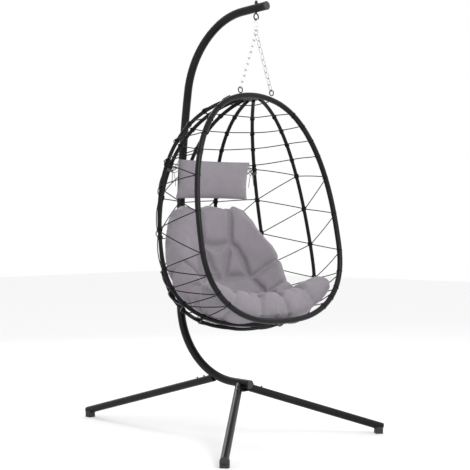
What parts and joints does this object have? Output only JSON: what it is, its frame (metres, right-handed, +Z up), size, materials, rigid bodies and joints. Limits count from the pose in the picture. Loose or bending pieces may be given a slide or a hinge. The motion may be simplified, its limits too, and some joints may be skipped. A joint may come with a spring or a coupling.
{
  "type": "hanging egg chair",
  "caption": "Hanging egg chair: a woven tube-frame basket seat with nest cushion and head pillow, hung by chains from a C-shaped stand on splayed legs.",
  "frame": {"origin": "on the floor, midway between the front feet and the rear foot, in the stand's middle plane", "axes": "+Z up, the sitter faces -Y, +X to the sitter's left"},
  "size_m": [1.147, 1.4477, 1.9926],
  "materials": {
    "frame_black": "satin powder coat",
    "fastener_black": "black oxide",
    "cap_black": "moulded, fine texture",
    "pad_rubber": "matte",
    "bush_plastic": "turned",
    "steel_bright": "zinc plated",
    "strand_black": "ribbed round strand",
    "fabric_grey": "fine plain weave",
    "tie_cord": "thin black cord"
  },
  "bodies": {
    "stand": {"post_lower": "frame_black", "post_upper": "frame_black", "post_sleeve": "frame_black", "post_bolts": "fastener_black", "post_top_cap": "cap_black", "post_lower_cap": "cap_black", "hook_bush": "bush_plastic", "leg_lug": "frame_black", "front_leg_left": "frame_black", "leg_stub_left": "frame_black", "foot_pad_left": "pad_rubber", "leg_plug_left": "cap_black", "leg_screws_left": "fastener_black", "front_leg_right": "frame_black", "leg_stub_right": "frame_black", "foot_pad_right": "pad_rubber", "leg_plug_right": "cap_black", "leg_screws_right": "fastener_black", "rear_leg": "frame_black", "leg_stub_rear": "frame_black", "foot_pad_rear": "pad_rubber", "leg_plug_rear": "cap_black", "leg_screws_rear": "fastener_black"},
    "swivel_eye": {"eye_bolt": "steel_bright", "eye_bolt_nut": "steel_bright"},
    "snap": {"snap_hook": "steel_bright", "snap_gate_pin": "steel_bright"},
    "gate": {"snap_gate": "steel_bright"},
    "chains": {"chain_ring": "steel_bright", "chain_left": "steel_bright", "chain_right": "steel_bright"},
    "basket": {"front_hoop": "frame_black", "rib_gather_top": "frame_black", "rib_gather_bottom": "frame_black", "eyelet_left": "frame_black", "eyelet_right": "frame_black", "rib_1": "frame_black", "rib_2": "frame_black", "rib_3": "frame_black", "rib_4": "frame_black", "rib_5": "frame_black", "rib_6": "frame_black", "strand_course_1": "strand_black", "strand_course_2": "strand_black", "strand_course_3": "strand_black", "strand_course_4": "strand_black", "strand_course_5": "strand_black", "strand_panel_1": "strand_black", "strand_panel_2": "strand_black", "strand_panel_3": "strand_black", "strand_panel_4": "strand_black", "strand_panel_5": "strand_black", "strand_panel_6": "strand_black", "strand_panel_7": "strand_black", "seat_cushion": "fabric_grey", "head_pillow": "fabric_grey", "pillow_tie_left": "tie_cord", "pillow_tie_right": "tie_cord"}
  },
  "joints": [
    {"name": "basket_swivel", "type": "hinge", "parent": "stand", "child": "swivel_eye", "pos_m": [0, -0.405, 1.96], "axis": [0, 0, 1], "range_deg": [-35, 35]},
    {"name": "swing_fore_aft", "type": "hinge", "parent": "swivel_eye", "child": "snap", "pos_m": [0, -0.405, 1.905], "axis": [-0.9962, 0.0872, 0], "range_deg": [-2, 20]},
    {"name": "snap_gate_hinge", "type": "hinge", "parent": "snap", "child": "gate", "pos_m": [-0.0007, -0.41297, 1.8708], "axis": [-0.9962, 0.0872, 0], "range_deg": [0, 20], "stiffness_Nm_per_rad": 0.005, "springref_deg": -17.19},
    {"name": "swing_sideways", "type": "hinge", "parent": "snap", "child": "chains", "pos_m": [0, -0.405, 1.8548], "axis": [0.0872, 0.9962, 0], "range_deg": [-5, 5]},
    {"name": "basket_tilt", "type": "hinge", "parent": "chains", "child": "basket", "pos_m": [0, -0.405, 1.5947], "axis": [-0.9962, 0.0872, 0], "range_deg": [-2, 12]}
  ]
}
